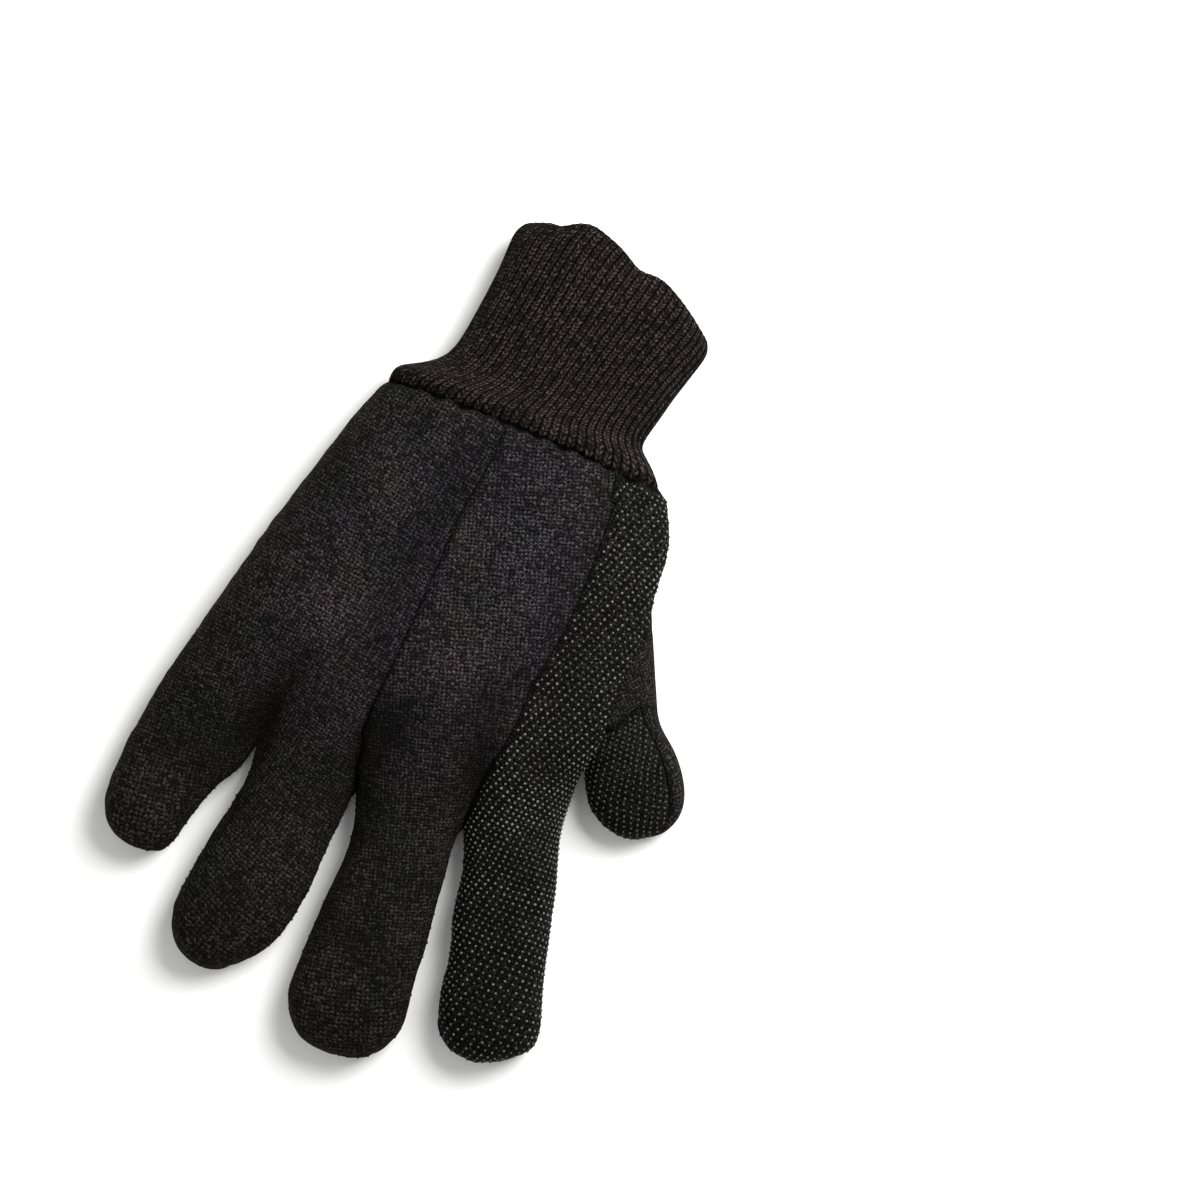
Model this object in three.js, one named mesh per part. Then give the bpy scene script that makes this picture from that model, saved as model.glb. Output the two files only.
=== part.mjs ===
// A right-hand jersey work glove with a dotted palm and a knitted cuff, lying palm down with its
// thumb tucked under the edge of the hand. +Z is up, +Y runs from the cuff to the fingertips and
// +X points to the little finger. The origin is on the floor, at the centre of the glove's box.
//
// The glove is cut and sewn. The palm piece covers the palm, the fronts of the four fingers and,
// folded round the index finger, a strip of the back. Two plain pieces cover the rest of the back.
// The thumb has a plain front, which runs on down to the cuff as a wing, and a dotted back.
import * as THREE from "three";

// Driving dimensions, in millimetres.
const HAND_LENGTH = 121; // wrist seam to the crotch between middle and ring finger
const HAND_WIDTH = 129; // across the four finger roots
const WRIST_WIDTH = 88.4; // across the wrist seam
const HAND_DEPTH = 26; // floor to the highest place of the back
const CROTCH_HEIGHT = 7; // height of the finger crotches above the floor
const JERSEY = 1.8; // thickness of the napped jersey
const SEAM_GAP = 0.42; // clearance between two sewn pieces
const EDGE_BEVEL = 0.35; // how much further back the inner side of a cut edge lies
const CUFF_LENGTH = 58; // wrist seam to the middle of the cuff's folded edge
const CUFF_WIDTH = 66; // flat width of the cuff near its edge
const CUFF_DEPTH = 22; // height of the cuff as it lies
const CUFF_WALL = 2.6; // two layers of rib knit
const RIB_COUNT = 64; // ribs round the cuff
const RIB_RELIEF = 0.7; // height of a rib over its groove

// Length, width, depth and lean from the thumb side of each finger. A positive sway moves a
// section's centre to the little finger's side. All section values are shares: along of the
// length, sway and width of the width, depth of the depth.
const FINGERS = [
  {
    length: 67.5,
    width: 28.6,
    depth: 17,
    lean: -11,
    sections: [
      { along: 0.13, sway: -0.05, width: 0.97, depth: 0.99 },
      { along: 0.3, sway: -0.07, width: 0.95, depth: 0.96 },
      { along: 0.47, sway: -0.08, width: 0.96, depth: 0.98 },
      { along: 0.63, sway: -0.08, width: 0.98, depth: 1 },
      { along: 0.78, sway: -0.08, width: 1, depth: 0.98 },
      { along: 0.89, sway: -0.06, width: 0.92, depth: 0.88 },
      { along: 0.96, sway: -0.02, width: 0.64, depth: 0.72 },
    ],
  },
  {
    length: 74.5,
    width: 35.5,
    depth: 18,
    lean: -1.6,
    sections: [
      { along: 0.11, sway: -0.02, width: 0.86, depth: 0.98 },
      { along: 0.27, sway: -0.03, width: 0.89, depth: 0.95 },
      { along: 0.43, sway: -0.02, width: 0.94, depth: 0.97 },
      { along: 0.59, sway: -0.01, width: 0.98, depth: 1 },
      { along: 0.74, sway: 0, width: 1, depth: 0.99 },
      { along: 0.86, sway: 0, width: 0.92, depth: 0.9 },
      { along: 0.95, sway: 0, width: 0.66, depth: 0.73 },
    ],
  },
  {
    length: 63.5,
    width: 33.5,
    depth: 17.5,
    lean: 7.4,
    sections: [
      { along: 0.12, sway: 0, width: 0.93, depth: 0.98 },
      { along: 0.29, sway: 0, width: 0.96, depth: 0.95 },
      { along: 0.46, sway: 0.01, width: 1, depth: 0.98 },
      { along: 0.62, sway: 0.02, width: 1, depth: 1 },
      { along: 0.76, sway: 0.05, width: 0.95, depth: 0.97 },
      { along: 0.87, sway: 0.08, width: 0.78, depth: 0.87 },
      { along: 0.94, sway: 0.08, width: 0.52, depth: 0.72 },
    ],
  },
  {
    length: 41,
    width: 30,
    depth: 16,
    lean: 8.5,
    sections: [
      { along: 0.16, sway: 0.03, width: 1.1, depth: 1.02 },
      { along: 0.32, sway: 0.08, width: 1.02, depth: 0.98 },
      { along: 0.49, sway: 0.1, width: 0.94, depth: 0.98 },
      { along: 0.65, sway: 0.11, width: 0.88, depth: 0.98 },
      { along: 0.8, sway: 0.09, width: 0.79, depth: 0.93 },
      { along: 0.91, sway: 0.05, width: 0.61, depth: 0.82 },
      { along: 0.97, sway: 0.02, width: 0.37, depth: 0.68 },
    ],
  },
];

// The thumb leaves a hole in the underside of the hand. Its sections are shares as a finger's are.
const THUMB = {
  length: 56.5,
  width: 28.5,
  depth: 16,
  lean: -28,
  sections: [
    { along: 0.4, sway: 0.1, width: 0.86, depth: 0.93 },
    { along: 0.53, sway: 0.04, width: 0.92, depth: 0.98 },
    { along: 0.66, sway: 0.01, width: 0.99, depth: 1 },
    { along: 0.78, sway: 0, width: 1, depth: 0.98 },
    { along: 0.88, sway: -0.02, width: 0.86, depth: 0.88 },
    { along: 0.96, sway: -0.03, width: 0.56, depth: 0.7 },
  ],
};
const THUMB_ROOT = { across: -0.365, along: 0.43 }; // shares of the hand's width and length
const THUMB_BLENDS = [0.3, 0.68]; // loops between the hole and the thumb's first section

// Sections of the hand, from the wrist seam to the finger roots. radial and ulnar are the sides,
// as shares of the width there; index, middle and ring are where the seams between the fingers
// run, as shares from the radial side to the ulnar one. crown and the heights of the two edges are
// shares of the depth, and tuck, the share of the hand's width over which the underside rises
// to the radial edge, makes room for the thumb.
const HAND = [
  { along: 0, radial: -0.501, ulnar: 0.499, index: 0.188, middle: 0.568, ring: 0.79,
    crown: 0.86, radialEdge: 0.36, ulnarEdge: 0.32, tuck: 0.08 },
  { along: 0.12, radial: -0.542, ulnar: 0.536, index: 0.19, middle: 0.579, ring: 0.785,
    crown: 0.91, radialEdge: 0.46, ulnarEdge: 0.3, tuck: 0.12 },
  { along: 0.25, radial: -0.53, ulnar: 0.56, index: 0.191, middle: 0.583, ring: 0.78,
    crown: 0.96, radialEdge: 0.58, ulnarEdge: 0.28, tuck: 0.17 },
  { along: 0.4, radial: -0.511, ulnar: 0.575, index: 0.195, middle: 0.57, ring: 0.77,
    crown: 1, radialEdge: 0.71, ulnarEdge: 0.27, tuck: 0.22 },
  { along: 0.55, radial: -0.466, ulnar: 0.587, index: 0.203, middle: 0.549, ring: 0.76,
    crown: 1, radialEdge: 0.76, ulnarEdge: 0.27, tuck: 0.24 },
  { along: 0.7, radial: -0.441, ulnar: 0.598, index: 0.208, middle: 0.542, ring: 0.75,
    crown: 1, radialEdge: 0.74, ulnarEdge: 0.27, tuck: 0.23 },
  { along: 0.85, radial: -0.402, ulnar: 0.607, index: 0.212, middle: 0.52, ring: 0.74,
    crown: 0.95, radialEdge: 0.6, ulnarEdge: 0.27, tuck: 0.19 },
  { along: 1, radial: -0.388, ulnar: 0.612, index: 0.214, middle: 0.472, ring: 0.728,
    crown: 0.85, radialEdge: 0.27, ulnarEdge: 0.27, tuck: 0.06 },
];
const KNUCKLE_LINE = [0.909, 0.986, 1, 0.969, 0.934]; // reach of the sides and crotches along the hand
const WRIST_LINE = [0.019, -0.008, -0.014]; // radial edge, middle and ulnar edge of the wrist seam
const VALLEY_START = 0.62; // where the valleys between the fingers begin, along the hand
const VALLEY_EASE = 2.4; // how late they deepen

// The cuff from the wrist seam to its folded edge. tilt is in degrees, the rest are shares: along
// of the cuff's length, shift and width of its width, depth of its depth.
const CUFF = [
  { along: 0.0, shift: 0, width: 1.34, tilt: -2.6, depth: 1.016 },
  { along: 0.06, shift: 0.035, width: 1.24, tilt: -2, depth: 1 },
  { along: 0.13, shift: 0.028, width: 1.08, tilt: -1, depth: 0.96 },
  { along: 0.22, shift: -0.025, width: 0.975, tilt: 0.5, depth: 0.92 },
  { along: 0.34, shift: -0.06, width: 0.955, tilt: 4, depth: 0.92 },
  { along: 0.48, shift: -0.085, width: 0.96, tilt: 8, depth: 0.95 },
  { along: 0.62, shift: -0.11, width: 0.98, tilt: 11, depth: 0.98 },
  { along: 0.75, shift: -0.13, width: 1.01, tilt: 12.5, depth: 1 },
  { along: 0.82, shift: -0.14, width: 1.015, tilt: 13, depth: 0.99 },
  { along: 0.86, shift: -0.145, width: 0.99, tilt: 13, depth: 0.96 },
];
const EDGE_BOW = 0.15; // how far the edge's middle reaches past its corners, of the cuff's length
// Soft lobes of the cuff's edge: place across it, width of the lobe and reach, as shares of the
// cuff's width and length.
const EDGE_LOBES = [
  { across: 0.2, width: 0.09, reach: 0.03 },
  { across: -0.08, width: 0.09, reach: -0.045 },
  { across: 0.33, width: 0.035, reach: -0.012 },
];

// The seams lie at this share of a digit's depth, and its underside is flat to this share of its
// half-width, rising to the seam by this power.
const SEAM_SHARE = 0.42;
const FLAT_SHARE = 0.5;
const SOLE_POWER = 2.2;
const CROWN_POWER = 2.4; // roundness of a digit's back
const ARCH_POWER = 2.6; // roundness of the hand's back
const TUCK_POWER = 1.4; // how straight the underside rises over the thumb
const EDGE_ROLL = 0.06; // how much the raised edge rolls in under its seam, of its height
const ULNAR_ROLL = 0.06; // width of the ulnar edge's lower rounding, of the hand's width

// Resolution: columns over the back of one finger, rows along the hand, and the thumb's hole.
const FINGER_COLUMNS = 6;
const HAND_ROWS = 12;
const HOLE = { first: 4, last: 8, columns: 4 };

const { lerp, clamp, degToRad } = THREE.MathUtils;
const COLUMNS = FINGER_COLUMNS * FINGERS.length;

// One column of a table at a place along it, on a smooth curve through the table's rows.
function smooth(table, column, along) {
  let i = 0;
  while (i < table.length - 2 && along > table[i + 1].along) i += 1;
  const [a, b] = [table[i], table[i + 1]];
  const [before, after] = [table[i - 1] ?? a, table[i + 2] ?? b];
  const slope = (p, q) => (q[column] - p[column]) / (q.along - p.along);
  const span = b.along - a.along;
  const t = clamp((along - a.along) / span, 0, 1);
  const [rise, fall] = [slope(before, b) * span, slope(a, after) * span];
  const [t2, t3] = [t * t, t * t * t];
  return (
    a[column] * (2 * t3 - 3 * t2 + 1) +
    rise * (t3 - 2 * t2 + t) +
    b[column] * (3 * t2 - 2 * t3) +
    fall * (t3 - t2)
  );
}

// Height of a rounded back over its seam, and of a flattened underside below it, as shares, at
// u from -1 to 1 across.
const crown = (u, power) => (1 - Math.min(1, Math.abs(u)) ** power) ** (1 / power);
const sole = (u) => (Math.max(0, Math.abs(u) - FLAT_SHARE) / (1 - FLAT_SHARE)) ** SOLE_POWER;

// A finger's columns lie closer together at its seams.
const across = (column) => -Math.cos((Math.PI * column) / FINGER_COLUMNS);

// The whole skin of the glove, as points and faces, each face with the piece of cloth it is cut from.
const skin = { points: [], faces: [] };

function point(x, y, z) {
  skin.points.push(new THREE.Vector3(x, y, Math.max(0, z)));
  return skin.points.length - 1;
}

function face(piece, ...corners) {
  skin.faces.push({ piece, corners });
}

// A point of the hand at a column from the radial side to the ulnar one and a row from the wrist
// to the finger roots, on the back or the underside.
function handPoint(column, row, back) {
  const along = row / HAND_ROWS;
  const finger = Math.min(Math.floor(column / FINGER_COLUMNS), FINGERS.length - 1);
  const u = across(column - finger * FINGER_COLUMNS);
  const seams = [0, ...["index", "middle", "ring"].map((n) => smooth(HAND, n, along)), 1];
  const inFinger = (u + 1) / 2;
  const share = lerp(seams[finger], seams[finger + 1], inFinger);
  const width = lerp(WRIST_WIDTH, HAND_WIDTH, along);
  const [radial, ulnar] = ["radial", "ulnar"].map((n) => smooth(HAND, n, along) * width);
  const wrist = lerp(WRIST_LINE[0], WRIST_LINE[2], share) + 4 * share * (1 - share) * WRIST_LINE[1];
  const knuckle = lerp(KNUCKLE_LINE[finger], KNUCKLE_LINE[finger + 1], inFinger);
  const y = HAND_LENGTH * lerp(wrist, knuckle, along);

  const [radialEdge, ulnarEdge] = ["radialEdge", "ulnarEdge"].map(
    (n) => smooth(HAND, n, along) * HAND_DEPTH,
  );
  const edge = lerp(radialEdge, ulnarEdge, share);
  const fromRadial = share * (ulnar - radial);
  const fromUlnar = (1 - share) * (ulnar - radial);
  const tuck = smooth(HAND, "tuck", along) * HAND_WIDTH;
  const top = lerp(edge, smooth(HAND, "crown", along) * HAND_DEPTH, crown(2 * share - 1, ARCH_POWER));
  const roll = share > 0 ? 1 - EDGE_ROLL : 1;
  const underRadial = radialEdge * roll * Math.max(0, 1 - fromRadial / tuck) ** TUCK_POWER;
  const underUlnar = ulnarEdge * Math.max(0, 1 - fromUlnar / (ULNAR_ROLL * HAND_WIDTH)) ** SOLE_POWER;

  // Towards the roots the hand takes the form of the four fingers side by side.
  const valley = Math.max(0, (along - VALLEY_START) / (1 - VALLEY_START)) ** VALLEY_EASE;
  const rootTop = lerp(CROTCH_HEIGHT, FINGERS[finger].depth, crown(u, CROWN_POWER));
  const rootSole = CROTCH_HEIGHT * sole(u);
  const z = back
    ? lerp(top, rootTop, valley)
    : lerp(Math.max(underRadial, underUlnar), rootSole, valley);
  return [lerp(radial, ulnar, share), y, z];
}

// Back and underside share their points at the two sides, and at the crotches in the last row.
const handBack = [];
const handSole = [];
for (let column = 0; column <= COLUMNS; column += 1) {
  handBack.push([]);
  handSole.push([]);
  for (let row = 0; row <= HAND_ROWS; row += 1) {
    const side = column === 0 || column === COLUMNS;
    const crotch = row === HAND_ROWS && column % FINGER_COLUMNS === 0;
    const inHole = column < HOLE.columns && row > HOLE.first && row < HOLE.last;
    handBack[column].push(point(...handPoint(column, row, true)));
    if (side || crotch) handSole[column].push(handBack[column][row]);
    else handSole[column].push(inHole ? null : point(...handPoint(column, row, false)));
  }
}

// Which piece of cloth covers a finger's back and the hand's back behind it.
const BACK_PIECES = ["palm_piece", "back_middle", "back_ring_little", "back_ring_little"];

for (let column = 0; column < COLUMNS; column += 1) {
  const backPiece = BACK_PIECES[Math.floor(column / FINGER_COLUMNS)];
  for (let row = 0; row < HAND_ROWS; row += 1) {
    const cell = (grid) => [
      grid[column][row],
      grid[column + 1][row],
      grid[column + 1][row + 1],
      grid[column][row + 1],
    ];
    const wing = column < HOLE.columns && row < HOLE.first;
    const hole = column < HOLE.columns && row >= HOLE.first && row < HOLE.last;
    face(backPiece, ...cell(handBack));
    if (!hole) face(wing ? "thumb_front" : "palm_piece", ...cell(handSole).reverse());
  }
}

// A digit's place in the plan: its root, its direction and the direction across it.
function digitAxis(digit, root) {
  const lean = degToRad(digit.lean);
  return {
    root,
    forward: new THREE.Vector3(Math.sin(lean), Math.cos(lean), 0),
    aside: new THREE.Vector3(Math.cos(lean), -Math.sin(lean), 0),
  };
}

// A point of a digit's section at u from -1 to 1 across, on its back or underside.
function digitPoint(digit, axis, section, u, back) {
  const depth = digit.depth * section.depth;
  const seam = depth * SEAM_SHARE;
  const place = axis.root
    .clone()
    .addScaledVector(axis.forward, digit.length * section.along)
    .addScaledVector(axis.aside, digit.width * (section.sway + (u * section.width) / 2));
  const z = back ? lerp(seam, depth, crown(u, CROWN_POWER)) : seam * sole(u);
  return [place.x, place.y, z];
}

function digitTip(digit, axis) {
  const place = axis.root.clone().addScaledVector(axis.forward, digit.length);
  const last = digit.sections[digit.sections.length - 1];
  return point(place.x, place.y, digit.depth * last.depth * SEAM_SHARE);
}

// Each finger is a tube of loops that starts at the hand's last row and closes at its tip. A loop
// runs over the back from the radial seam to the ulnar one, and returns along the underside.
FINGERS.forEach((digit, finger) => {
  const first = finger * FINGER_COLUMNS;
  const columns = [...Array(FINGER_COLUMNS + 1).keys()];
  const ends = [first, first + FINGER_COLUMNS].map((c) => skin.points[handBack[c][HAND_ROWS]]);
  const root = ends[0].clone().lerp(ends[1], 0.5).setZ(0);
  const axis = digitAxis(digit, root);
  const backs = [columns.map((c) => handBack[first + c][HAND_ROWS])];
  const soles = [columns.map((c) => handSole[first + c][HAND_ROWS])];
  for (const section of digit.sections) {
    const made = (back) => (c) => point(...digitPoint(digit, axis, section, across(c), back));
    const over = columns.map(made(true));
    const inner = columns.slice(1, -1).map(made(false));
    backs.push(over);
    soles.push([over[0], ...inner, over[FINGER_COLUMNS]]);
  }
  const tip = digitTip(digit, axis);
  for (let c = 0; c < FINGER_COLUMNS; c += 1) {
    for (let row = 0; row < digit.sections.length; row += 1) {
      const cell = (g) => [g[row][c], g[row][c + 1], g[row + 1][c + 1], g[row + 1][c]];
      face(BACK_PIECES[finger], ...cell(backs));
      face("palm_piece", ...cell(soles).reverse());
    }
    const [back, under] = [backs[digit.sections.length], soles[digit.sections.length]];
    face(BACK_PIECES[finger], back[c], back[c + 1], tip);
    face("palm_piece", under[c + 1], under[c], tip);
  }
});

// The thumb's loops start at the edge of the hole: up its radial side, across its far side, down
// its inner side and back. Counted from the thumb's outer seam, they run over its back first.
const rowsUp = [...Array(HOLE.last - HOLE.first + 1).keys()].map((r) => HOLE.first + r);
const holeEdge = [
  ...rowsUp.map((row) => handSole[0][row]),
  ...[...Array(HOLE.columns).keys()].map((c) => handSole[c + 1][HOLE.last]),
  ...rowsUp.slice(0, -1).reverse().map((row) => handSole[HOLE.columns][row]),
  ...[...Array(HOLE.columns - 1).keys()].map((c) => handSole[HOLE.columns - 1 - c][HOLE.first]),
];
const thumbAxis = digitAxis(
  THUMB,
  new THREE.Vector3(HAND_WIDTH * THUMB_ROOT.across, HAND_LENGTH * THUMB_ROOT.along, 0),
);
const around = (i) => {
  const angle = (2 * Math.PI * i) / holeEdge.length;
  return { u: -Math.cos(angle), back: Math.sin(angle) > 0 };
};
const thumbLoops = [holeEdge];
const firstLoop = holeEdge.map((_, i) => {
  const { u, back } = around(i);
  return new THREE.Vector3(...digitPoint(THUMB, thumbAxis, THUMB.sections[0], u, back));
});
for (const blend of THUMB_BLENDS) {
  const loop = holeEdge.map((p, i) => skin.points[p].clone().lerp(firstLoop[i], blend));
  thumbLoops.push(loop.map((p) => point(p.x, p.y, p.z)));
}
for (const section of THUMB.sections) {
  thumbLoops.push(
    holeEdge.map((_, i) => {
      const { u, back } = around(i);
      return point(...digitPoint(THUMB, thumbAxis, section, u, back));
    }),
  );
}
const thumbTip = digitTip(THUMB, thumbAxis);
const DOTTED_BACK = { from: 2, to: 8, firstLoop: 2 }; // the part of the thumb's loops with dots
for (let i = 0; i < holeEdge.length; i += 1) {
  const next = (i + 1) % holeEdge.length;
  const onBack = i >= DOTTED_BACK.from && i < DOTTED_BACK.to;
  thumbLoops.slice(1).forEach((loop, row) => {
    const dotted = onBack && row >= DOTTED_BACK.firstLoop;
    const before = thumbLoops[row];
    face(dotted ? "thumb_back" : "thumb_front", before[i], before[next], loop[next], loop[i]);
  });
  const end = thumbLoops[thumbLoops.length - 1];
  face(onBack ? "thumb_back" : "thumb_front", end[i], end[next], thumbTip);
}

// The outward direction at each point, from the faces round it.
const faceNormal = ({ corners }) => {
  const [a, b, c, d = c] = corners.map((i) => skin.points[i]);
  return c.clone().sub(a).cross(d.clone().sub(b)).normalize();
};
const outward = skin.points.map(() => new THREE.Vector3());
for (const f of skin.faces) {
  const normal = faceNormal(f);
  for (const corner of f.corners) outward[corner].add(normal);
}
outward.forEach((normal) => normal.normalize());

// The face on the left of each edge, by the edge's two points.
const faceAt = new Map();
for (const f of skin.faces) {
  f.corners.forEach((a, i) => faceAt.set(`${a}>${f.corners[(i + 1) % f.corners.length]}`, f));
}

// Makes one piece of cloth from its faces of the skin: the outer side, the inner side one
// thickness in, and the cut edge between them, set back from the seam by half the seam gap.
function clothPiece(name) {
  const faces = skin.faces.filter((f) => f.piece === name);
  const setBack = new Map();
  const edges = [];
  for (const f of faces) {
    f.corners.forEach((a, i) => {
      const b = f.corners[(i + 1) % f.corners.length];
      const beyond = faceAt.get(`${b}>${a}`);
      if (beyond?.piece === name) return;
      edges.push([a, b]);
      const seamNormal = faceNormal(f).add(faceNormal(beyond ?? f));
      const along = skin.points[b].clone().sub(skin.points[a]);
      const inward = seamNormal.cross(along).normalize();
      for (const end of [a, b]) setBack.set(end, [...(setBack.get(end) ?? []), inward]);
    });
  }
  const used = [...new Set(faces.flatMap((f) => f.corners))];
  const place = new Map(used.map((p, i) => [p, i]));
  const positions = [];
  for (const depth of [0, JERSEY]) {
    for (const p of used) {
      const moved = skin.points[p].clone().addScaledVector(outward[p], -depth);
      const [m, n] = setBack.get(p) ?? [];
      if (m) {
        const back = SEAM_GAP / 2 + (depth ? EDGE_BEVEL : 0);
        moved.addScaledVector(m.clone().add(n), back / Math.max(0.5, 1 + m.dot(n)));
      }
      positions.push(moved.x, moved.y, Math.max(depth ? JERSEY / 2 : 0, moved.z));
    }
  }
  const index = [];
  const add = (corners) => {
    for (let i = 1; i < corners.length - 1; i += 1) index.push(corners[0], corners[i], corners[i + 1]);
  };
  const inside = used.length;
  for (const { corners } of faces) {
    const outer = corners.map((c) => place.get(c));
    add(outer);
    add([...outer].reverse().map((c) => c + inside));
  }
  for (const [a, b] of edges) {
    const [p, q] = [place.get(a), place.get(b)];
    add([q, p, p + inside, q + inside]);
  }
  const geometry = new THREE.BufferGeometry();
  geometry.setAttribute("position", new THREE.Float32BufferAttribute(positions, 3));
  geometry.setIndex(index);
  geometry.computeVertexNormals();
  return geometry;
}

// How far the cuff's lobes reach at a place across it, in millimetres.
function lobeReach(place) {
  const lobe = ({ across: middle, width, reach }) => reach * Math.exp(-(((place - middle) / width) ** 2));
  return CUFF_LENGTH * EDGE_LOBES.reduce((sum, l) => sum + lobe(l), 0);
}

// One loop of the cuff at a depth into its wall. Every second point is the groove between two
// ribs. The first loop follows the wrist seam, and the last ones bow out to the folded edge.
const RIB_POINTS = 2 * RIB_COUNT;
const CUFF_REACH = CUFF[CUFF.length - 1].along;
function cuffLoop(section, depthIn, relief) {
  const tilt = degToRad(section.tilt);
  const half = (CUFF_WIDTH * section.width) / 2;
  const height = CUFF_DEPTH * section.depth;
  const seam = height * SEAM_SHARE;
  const toEdge = (section.along / CUFF_REACH) ** 3;
  const toWrist = (1 - section.along / CUFF_REACH) ** 4;
  return [...Array(RIB_POINTS).keys()].map((i) => {
    const angle = (2 * Math.PI * i) / RIB_POINTS;
    const [cos, sin] = [Math.cos(angle), Math.sin(angle)];
    const u = Math.sign(cos) * Math.abs(cos) ** (2 / CROWN_POWER);
    const rise = Math.abs(sin) ** (2 / CROWN_POWER);
    const groove = i % 2 ? relief : 0;
    const x = half * u - cos * (depthIn + groove);
    const z = (sin >= 0 ? lerp(seam, height, rise) : seam * (1 - rise)) - sin * (depthIn + groove);
    const bow = CUFF_LENGTH * EDGE_BOW * (1 - u * u) + lobeReach((half * u) / CUFF_WIDTH);
    const wrist = lerp(WRIST_LINE[2], WRIST_LINE[0], (1 - u) / 2) + (1 - u * u) * WRIST_LINE[1];
    return [
      CUFF_WIDTH * section.shift + x * Math.cos(tilt),
      HAND_LENGTH * wrist * toWrist - SEAM_GAP - CUFF_LENGTH * section.along - bow * toEdge -
        x * Math.sin(tilt) * (1 - toWrist),
      Math.max(depthIn || groove / 2, z),
    ];
  });
}

// The cuff is one wall: its ribbed outside, the folded edge, and the smooth inside back to the seam.
function cuffGeometry() {
  const fold = CUFF[CUFF.length - 1];
  const foldedEdge = { ...fold, along: fold.along + CUFF_WALL / 2 / CUFF_LENGTH };
  const loops = [
    ...CUFF.map((section) => cuffLoop(section, 0, RIB_RELIEF)),
    cuffLoop(foldedEdge, CUFF_WALL / 2, 0),
    ...[...CUFF].reverse().map((section) => cuffLoop(section, CUFF_WALL, 0)),
  ];
  const positions = loops.flat(2);
  const index = [];
  loops.forEach((_, row) => {
    const nextRow = (row + 1) % loops.length;
    for (let i = 0; i < RIB_POINTS; i += 1) {
      const next = (i + 1) % RIB_POINTS;
      const [a, b] = [row * RIB_POINTS + i, row * RIB_POINTS + next];
      const [c, d] = [nextRow * RIB_POINTS + next, nextRow * RIB_POINTS + i];
      index.push(a, b, c, a, c, d);
    }
  });
  const geometry = new THREE.BufferGeometry();
  geometry.setAttribute("position", new THREE.Float32BufferAttribute(positions, 3));
  geometry.setIndex(index);
  geometry.computeVertexNormals();
  return geometry;
}

const plainJersey = new THREE.MeshStandardMaterial({ color: 0x2b2928, roughness: 0.95 });
const dottedJersey = new THREE.MeshStandardMaterial({ color: 0x262523, roughness: 0.85 });
const ribKnit = new THREE.MeshStandardMaterial({ color: 0x2c2726, roughness: 0.95 });

const pieces = {
  palm_piece: dottedJersey,
  back_middle: plainJersey,
  back_ring_little: plainJersey,
  thumb_front: plainJersey,
  thumb_back: dottedJersey,
};
const glove = new THREE.Group();
for (const [name, material] of Object.entries(pieces)) {
  const mesh = new THREE.Mesh(clothPiece(name), material);
  mesh.name = name;
  glove.add(mesh);
}
const cuff = new THREE.Mesh(cuffGeometry(), ribKnit);
cuff.name = "knit_cuff";
glove.add(cuff);

// Sets the middle of the glove's plan over the origin.
const box = new THREE.Box3().setFromObject(glove);
glove.position.set(-(box.min.x + box.max.x) / 2, -(box.min.y + box.max.y) / 2, -box.min.z);

export default glove;
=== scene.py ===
"""A dotted jersey work glove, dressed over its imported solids.

The outer sides of the five cloth solids become one smooth skin. The skin gets its folds, is cut
along the sewn seams, and each panel then gets a knitted cloth. The dots, the ribbed cuff and the
studio are made after that.
"""

import collections
import functools
import heapq
import math

import bmesh
import bpy
import numpy as np
from bpy.props import FloatProperty, FloatVectorProperty, IntProperty, PointerProperty
from mathutils import Matrix, Vector, noise
from mathutils.bvhtree import BVHTree
from mathutils.kdtree import KDTree


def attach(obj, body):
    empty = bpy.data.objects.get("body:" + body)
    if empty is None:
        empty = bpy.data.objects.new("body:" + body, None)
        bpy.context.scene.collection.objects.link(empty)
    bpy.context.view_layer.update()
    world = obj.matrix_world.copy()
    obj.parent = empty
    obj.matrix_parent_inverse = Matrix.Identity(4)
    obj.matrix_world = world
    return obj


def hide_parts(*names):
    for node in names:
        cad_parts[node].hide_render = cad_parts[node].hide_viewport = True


bl_info = {
    "name": "Dotted Jersey Glove",
    "version": (1, 0, 0),
    "blender": (4, 5, 0),
    "location": "View3D > Sidebar > Glove",
    "description": "Makes the cloth, dots, cuff and studio of a dotted jersey work glove",
    "category": "Add Mesh",
}

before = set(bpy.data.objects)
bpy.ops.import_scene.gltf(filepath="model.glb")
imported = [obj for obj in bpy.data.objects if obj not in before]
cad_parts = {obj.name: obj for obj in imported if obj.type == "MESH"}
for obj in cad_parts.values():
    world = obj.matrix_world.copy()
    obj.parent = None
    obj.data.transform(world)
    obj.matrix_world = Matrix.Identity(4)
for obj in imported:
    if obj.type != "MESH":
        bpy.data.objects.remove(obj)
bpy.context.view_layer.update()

MM = 0.001
PANELS = ("palm_piece", "back_middle", "back_ring_little", "thumb_front", "thumb_back")
# The thumb's dots are painted dark, as painted shade on the low-lying thumb.
DOTTED = {"palm_piece": 1.0, "thumb_back": 0.05}  # how light the lightest dots are
# How far the columns of stitches lean off the glove's length, in degrees.
GRAIN = {"palm_piece": -31, "back_middle": -15, "back_ring_little": 10}
CUFF = "knit_cuff"

# How the glove lies in the photograph: the picture is taken from straight above. It shows this
# point at its middle, and is this wide at this height over the floor.
VIEW_CENTRE = (-37.4 * MM, -26.1 * MM)
VIEW_WIDTH = 357.6 * MM
VIEW_LEVEL = 12 * MM
VIEW_ROLL = math.radians(200)


def linear(hex_colour):
    """An sRGB hex colour as linear red, green and blue."""
    parts = [int(hex_colour[i : i + 2], 16) / 255 for i in (1, 3, 5)]
    return tuple(c / 12.92 if c <= 0.04045 else ((c + 0.055) / 1.055) ** 2.4 for c in parts)


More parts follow.
